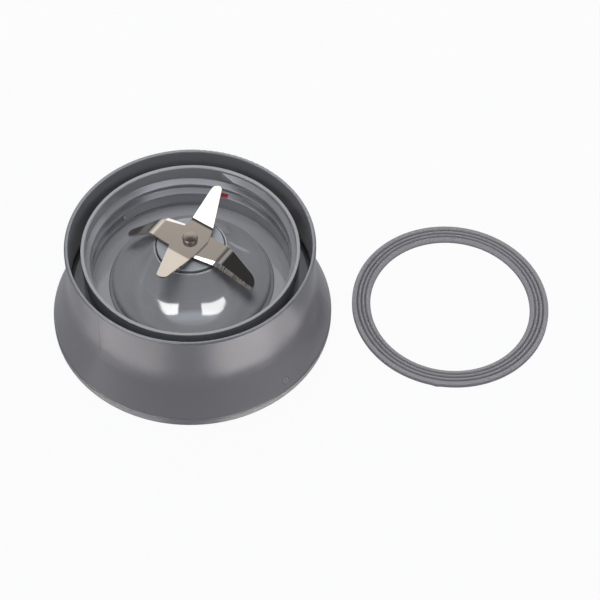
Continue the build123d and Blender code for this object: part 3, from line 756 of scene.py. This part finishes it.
@dataclass
class Drive(Assembly):
    """Coupling under the cone, and what holds it on the spindle."""

    coupling: MouldedPlastic = MouldedPlastic(
        "black_coupling_plastic", (0.020, 0.020, 0.021), 0.48, 0.0, 0.30 * MM, 0.30, 6 * MM, 0.10, 0.02 * MM)
    brass: WorkedMetal = WorkedMetal(
        "turned_insert_brass", (0.68, 0.48, 0.19), 0.28, Grain.TURNED, 0.10 * MM, 0.003 * MM, 0.15)
    plated: WorkedMetal = WorkedMetal(
        "plated_drive_steel", (0.56, 0.56, 0.57), 0.30, Grain.TURNED, 0.12 * MM, 0.003 * MM, 0.15)

    def build(self) -> None:
        """Dress the coupling and its fasteners."""
        self.dress(self.coupling, "drive_coupling")
        self.dress(self.brass, "coupling_insert")
        self.dress(self.plated, "thrust_washer", "retaining_ring", "lock_washer", "coupling_nut")


@dataclass
class LooseRing(Assembly):
    """Grooved sealing ring, taken out and laid on the table, a little out of round as soft rubber lies."""

    rubber: MouldedRubber = MouldedRubber(
        "grey_ring_rubber", (0.182, 0.180, 0.193), 0.50, 0.12 * MM, 0.001 * MM, 0.25)
    solid: str = "sealing_ring"
    lie: Point = (0.3 * MM, -0.6 * MM, 0.0)
    stretch: Point = (0.991, 1.010, 1.0)
    width: float = 8.1 * MM
    face_height: float = 1.9 * MM
    inner_height: float = 1.0 * MM
    foot_height: float = 0.15 * MM
    edge_round: float = 0.4 * MM
    edge_middle: float = 0.12 * MM
    slope_start: float = 0.06 * MM
    grooves: Sequence[Groove] = (
        Groove(5.75 * MM, 1.2 * MM, 0.50 * MM),
        Groove(4.1 * MM, 1.2 * MM, 0.55 * MM),
        Groove(2.35 * MM, 1.2 * MM, 0.55 * MM))
    nub_angle: float = 261.0
    nub_length: float = 4.2 * MM
    nub_depth: float = 0.35 * MM
    steps: int = 240

    def profile(self) -> list[Range]:
        """Cut through the ring.

        Returns:
            Distances in from the outer edge, with heights, from the inner foot round to the outer foot.
        """
        points = [
            (self.width, 0.0),
            (self.width, self.foot_height),
            (self.width, self.inner_height - self.edge_round),
            (self.width - self.edge_middle, self.inner_height - self.edge_middle),
            (self.width - self.edge_round, self.inner_height + self.slope_start)]
        for groove in self.grooves:
            points += [(groove.place + across * groove.width, self.face_height - down * groove.depth)
                       for across, down in GROOVE_SHAPE]
        return points + [
            (self.edge_round, self.face_height),
            (self.edge_middle, self.face_height - self.edge_middle),
            (0.0, self.face_height - self.edge_round),
            (0.0, self.foot_height),
            (0.0, 0.0)]

    def nub(self, angle: float, radius: float) -> float:
        """Share of the moulded nub's depth at an angle round the ring, from 0 to 1."""
        off = math.radians((math.degrees(angle) - self.nub_angle + 180.0) % 360.0 - 180.0) * radius
        return math.cos(math.pi * off / self.nub_length) ** 2 if abs(off) < self.nub_length / 2 else 0.0

    def corners(self, centre: Point, radius: float) -> list[Point]:
        """Carry the cut round the ring.

        Args:
            centre: The ring's centre, on the table.
            radius: Its outer radius before it is stretched.

        Returns:
            The corners, one cut after another.
        """
        cut = self.profile()
        found = []
        for step in range(self.steps):
            angle = math.tau * step / self.steps
            swell = self.nub(angle, radius) * self.nub_depth
            for inset, height in cut:
                reach = radius - inset + (swell if inset < self.edge_round else 0.0)
                found.append((centre[0] + math.cos(angle) * reach * self.stretch[0],
                              centre[1] + math.sin(angle) * reach * self.stretch[1], height))
        return found

    def faces(self) -> list[tuple[int, int, int, int]]:
        """Join each cut to the next one round the ring.

        Returns:
            The four corners of each face, by number.
        """
        count = len(self.profile())
        found = []
        for step in range(self.steps):
            this, after = step * count, (step + 1) % self.steps * count
            for spot in range(count):
                beside = (spot + 1) % count
                found.append((this + spot, this + beside, after + beside, after + spot))
        return found

    def build(self) -> None:
        """Make the ring's mesh in place of its solid, and dress it."""
        low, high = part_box(self.solid)
        radius = (high[0] - low[0]) / 2
        centre = ((low[0] + high[0]) / 2 + self.lie[0], high[1] - radius + self.lie[1], 0.0)
        mesh = bpy.data.meshes.new("grooved_ring")
        mesh.from_pydata(self.corners(centre, radius), [], self.faces())
        mesh.shade_smooth()
        # painted shade in the ring's grooves
        grooves = RingGrooveShade(centre, radius, self.stretch, self.grooves)
        mesh.materials.append(replace(self.rubber, grooves=grooves).material())
        ring = bpy.data.objects.new("grooved_ring", mesh)
        bpy.context.scene.collection.objects.link(ring)
        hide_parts(self.solid)
        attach(ring, "base")
        LOG.info("%s: %s", ring.name, self.rubber.name)


@dataclass
class PhotoCamera:
    """Camera at the photograph's place, which looks at a point on the table."""

    target: Point = (46.3 * MM, 7.6 * MM, 0.0)
    elevation: float = 52.39
    roll: float = -1.77
    distance: float = 845 * MM
    lens: float = 116.04

    def build(self) -> None:
        """Make the camera and set it as the scene's own."""
        tilt, turn = math.radians(self.elevation), math.radians(self.roll)
        level = Vector((1.0, 0.0, 0.0))
        lift = Vector((0.0, math.sin(tilt), math.cos(tilt)))
        back = Vector((0.0, -math.cos(tilt), math.sin(tilt)))
        right = level * math.cos(turn) - lift * math.sin(turn)
        up = level * math.sin(turn) + lift * math.cos(turn)
        data = bpy.data.cameras.new("photo_camera")
        data.lens = self.lens
        camera = bpy.data.objects.new("photo_camera", data)
        axes = Matrix((right, up, back)).transposed()
        camera.matrix_world = Matrix.Translation(Vector(self.target) + back * self.distance) @ axes.to_4x4()
        bpy.context.scene.collection.objects.link(camera)
        bpy.context.scene.camera = camera


@dataclass(frozen=True)
class Softbox:
    """Rectangular lamp that faces the unit, from an azimuth right of the front and an elevation."""

    name: str
    azimuth: float
    elevation: float
    distance: float
    width: float
    height: float
    power: float
    colour: Colour = WHITE
    roll: float = 0.0
    mirrored: bool = True
    fills: bool = True
    table_only: bool = False

    def build(self, target: Point, table: bpy.types.Collection) -> None:
        """Hang the lamp.

        Args:
            target: The point that it faces.
            table: The collection that a lamp for the table alone is linked to.
        """
        turn, lift = math.radians(self.azimuth), math.radians(self.elevation)
        outward = Vector((math.sin(turn) * math.cos(lift), -math.cos(turn) * math.cos(lift), math.sin(lift)))
        data = bpy.data.lights.new(self.name, "AREA")
        data.shape = "RECTANGLE"
        data.size = self.width
        data.size_y = self.height
        data.energy = self.power
        data.color = self.colour
        lamp = bpy.data.objects.new(self.name, data)
        spin = Matrix.Rotation(math.radians(self.roll), 3, "Z")
        axes = outward.to_track_quat("Z", "Y").to_matrix() @ spin
        lamp.matrix_world = Matrix.Translation(Vector(target) + outward * self.distance) @ axes.to_4x4()
        lamp.visible_camera = False
        lamp.visible_glossy = self.mirrored
        lamp.visible_diffuse = self.fills and not self.table_only
        if self.table_only:
            lamp.light_linking.receiver_collection = table
        bpy.context.scene.collection.objects.link(lamp)


class Heading(Enum):
    """Direction in the room along which the edge of a patch is measured."""

    RIGHT = "right"
    SIDE = "to either side"
    BACK = "back"
    UP = "up"


@dataclass(frozen=True)
class SoftEdge:
    """Edge of a patch: where it starts and where it is full, and the share that is left beyond it."""

    heading: Heading
    start: float
    full: float
    rest: float = 0.0

    def mask(self, along: Mapping[Heading, Signal]) -> Signal:
        """One where the patch is full, falling to the rest."""
        step = along[self.heading].rise(self.start, self.full)
        return self.rest + (1.0 - self.rest) * step if self.rest else step


@dataclass(frozen=True)
class RoomPatch:
    """Pale patch of the room, within its soft edges, which lights the unit and shows in its gloss."""

    name: str
    level: float
    colour: Colour
    edges: Sequence[SoftEdge]

    def paint(self, shader: Shader, along: Mapping[Heading, Signal], room: Signal) -> Signal:
        """Lay the patch over the room.

        Args:
            shader: The shader of the room.
            along: The direction from the unit, along each heading.
            room: The room's colour without the patch.

        Returns:
            The room's colour with it.
        """
        share = self.edges[0].mask(along)
        for edge in self.edges[1:]:
            share = share * edge.mask(along)
        LOG.info("room: %s", self.name)
        return shader.blend(share, room, scaled(self.colour, self.level))


@dataclass
class Studio:
    """Pale table in a dim room with pale patches, lamps for the unit and lamps for the table alone."""

    target: Point = (0.0, 0.0, 30 * MM)
    floor_reach: float = 1.5
    floor_drop: float = 0.05 * MM
    floor_colour: Colour = (0.305, 0.310, 0.335)
    floor_roughness: float = 0.22
    floor_specular: float = 1.0
    floor_white: float = 0.95
    floor_shine: float = 0.10
    room_level: float = 0.10
    room_low_share: float = 0.5
    room_rise: Range = (0.40, 0.75)
    softboxes: Sequence[Softbox] = (
        Softbox("left_softbox", -48.5, 30.6, 1.1, 0.97, 0.15, 2.75, roll=13.0, fills=False),
        Softbox("right_softbox", 42.0, 33.0, 1.1, 0.72, 0.16, 1.85, roll=-9.5, fills=False),
        Softbox("left_table_softbox", -52.0, 51.0, 1.2, 0.84, 0.50, 16.0, (1.0, 0.93, 0.87), table_only=True),
        Softbox("right_table_softbox", 50.0, 48.5, 1.2, 0.84, 0.60, 31.0, (1.0, 0.93, 0.90), table_only=True),
        Softbox("left_side_table_softbox", -89.0, 51.0, 1.2, 0.46, 0.50, 5.0, WARM_LAMP, table_only=True),
        Softbox("right_side_table_softbox", 98.0, 51.0, 1.2, 0.50, 0.50, 7.5, WARM_LAMP, table_only=True),
        Softbox("left_key_softbox", -96.0, 71.0, 1.2, 0.38, 0.38, 1.3),
        Softbox("front_softbox", 0.0, 27.0, 1.4, 1.6, 0.5, 2.4, mirrored=False),
        Softbox("left_fill_softbox", -75.0, 30.0, 1.4, 0.8, 0.5, 2.2, mirrored=False),
        Softbox("right_fill_softbox", 75.0, 30.0, 1.4, 0.8, 0.5, 2.8, mirrored=False),
        Softbox("overhead_softbox", 180.0, 85.0, 1.3, 0.6, 0.6, 12.8, mirrored=False),
    )
    patches: Sequence[RoomPatch] = (
        RoomPatch("ceiling_sides", 0.55, COOL_WALL, (
            SoftEdge(Heading.SIDE, 0.30, 0.45), SoftEdge(Heading.UP, 0.60, 0.72))),
        RoomPatch("ceiling_middle", 0.55, COOL_WALL, (SoftEdge(Heading.UP, 0.955, 0.985),)),
        RoomPatch("right_window", 0.45, COOL_WALL, (
            SoftEdge(Heading.RIGHT, 0.70, 0.90), SoftEdge(Heading.UP, 0.12, 0.22),
            SoftEdge(Heading.UP, 0.41, 0.34), SoftEdge(Heading.BACK, 0.03, 0.12))),
        RoomPatch("front_glow", 1.1, COOL_WALL, (
            SoftEdge(Heading.BACK, -0.2, -0.5), SoftEdge(Heading.UP, 0.56, 0.62),
            SoftEdge(Heading.UP, 0.86, 0.74), SoftEdge(Heading.UP, 0.70, 0.64, rest=0.5))),
        RoomPatch("backdrop", 1.2, WARM_WALL, (
            SoftEdge(Heading.BACK, 0.1, 0.5), SoftEdge(Heading.SIDE, 0.6, 0.3),
            SoftEdge(Heading.UP, 0.90, 0.62), SoftEdge(Heading.UP, -0.06, 0.02))),
    )

    def build(self) -> None:
        """Set up the table, the lamps, the room and the view."""
        table = self.build_floor()
        for softbox in self.softboxes:
            softbox.build(self.target, table)
        self.build_room()
        bpy.context.scene.view_settings.view_transform = "Standard"

    def build_floor(self) -> bpy.types.Collection:
        """Lay the table under the unit.

        Returns:
            A collection of the table alone.
        """
        reach = self.floor_reach
        corners = [(-reach, -reach, 0.0), (reach, -reach, 0.0), (reach, reach, 0.0), (-reach, reach, 0.0)]
        mesh = bpy.data.meshes.new("table")
        mesh.from_pydata(corners, [], [(0, 1, 2, 3)])
        table = bpy.data.objects.new("table", mesh)
        table.location.z = -self.floor_drop
        bpy.context.scene.collection.objects.link(table)
        material, shader = new_shader("pale_table")
        seen = shader.node("ShaderNodeLightPath", {}, {}, "Is Camera Ray")
        mirrored = shader.node("ShaderNodeLightPath", {}, {}, "Is Glossy Ray")
        matt = shader.node("ShaderNodeBsdfPrincipled", {}, {
            "Base Color": opaque(self.floor_colour),
            "Roughness": self.floor_roughness,
            "Specular IOR Level": self.floor_specular,
        })
        white = shader.node("ShaderNodeEmission", {}, {"Strength": 1.0})
        share = seen * self.floor_white + mirrored * self.floor_shine
        mixed = shader.node("ShaderNodeMixShader", {}, {0: share, 1: matt, 2: white})
        shader.node_output("ShaderNodeOutputMaterial", mixed)
        mesh.materials.append(material)
        alone = bpy.data.collections.new("table_alone")
        alone.objects.link(table)
        return alone

    def build_room(self) -> None:
        """Make the room white to the camera, and otherwise dim with its pale patches."""
        world = bpy.data.worlds.new("studio_room")
        bpy.context.scene.world = world
        world.use_nodes = True
        shader = Shader(world.node_tree)
        direction = shader.node("ShaderNodeTexCoord", {}, {}, "Generated")
        right = shader.along(direction, (1.0, 0.0, 0.0))
        height = shader.along(direction, UP)
        along = {
            Heading.RIGHT: right,
            Heading.SIDE: abs(right),
            Heading.BACK: shader.along(direction, (0.0, 1.0, 0.0)),
            Heading.UP: height,
        }
        dim = scaled(COOL_WALL, self.room_level)
        room = shader.blend(height.rise(*self.room_rise), scaled(dim, self.room_low_share), dim)
        for patch in self.patches:
            room = patch.paint(shader, along, room)
        seen = shader.node("ShaderNodeLightPath", {}, {}, "Is Camera Ray")
        background = shader.node("ShaderNodeBackground", {}, {"Color": shader.blend(seen, room, WHITE)})
        shader.node_output("ShaderNodeOutputWorld", background)


def clear_scene() -> None:
    """Remove what a new Blender file holds."""
    for item in list(bpy.data.objects):
        bpy.data.objects.remove(item)


def main() -> None:
    """Load the solids, dress each sub-assembly and set up the studio."""
    logging.basicConfig(level=logging.INFO, format="%(message)s")
    clear_scene()
    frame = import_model()
    for assembly in (Collar, JarCup, Bearing, BladeSet, Drive, LooseRing):
        assembly(frame).build()
    PhotoCamera().build()
    Studio().build()


if __name__ == "__main__":
    main()
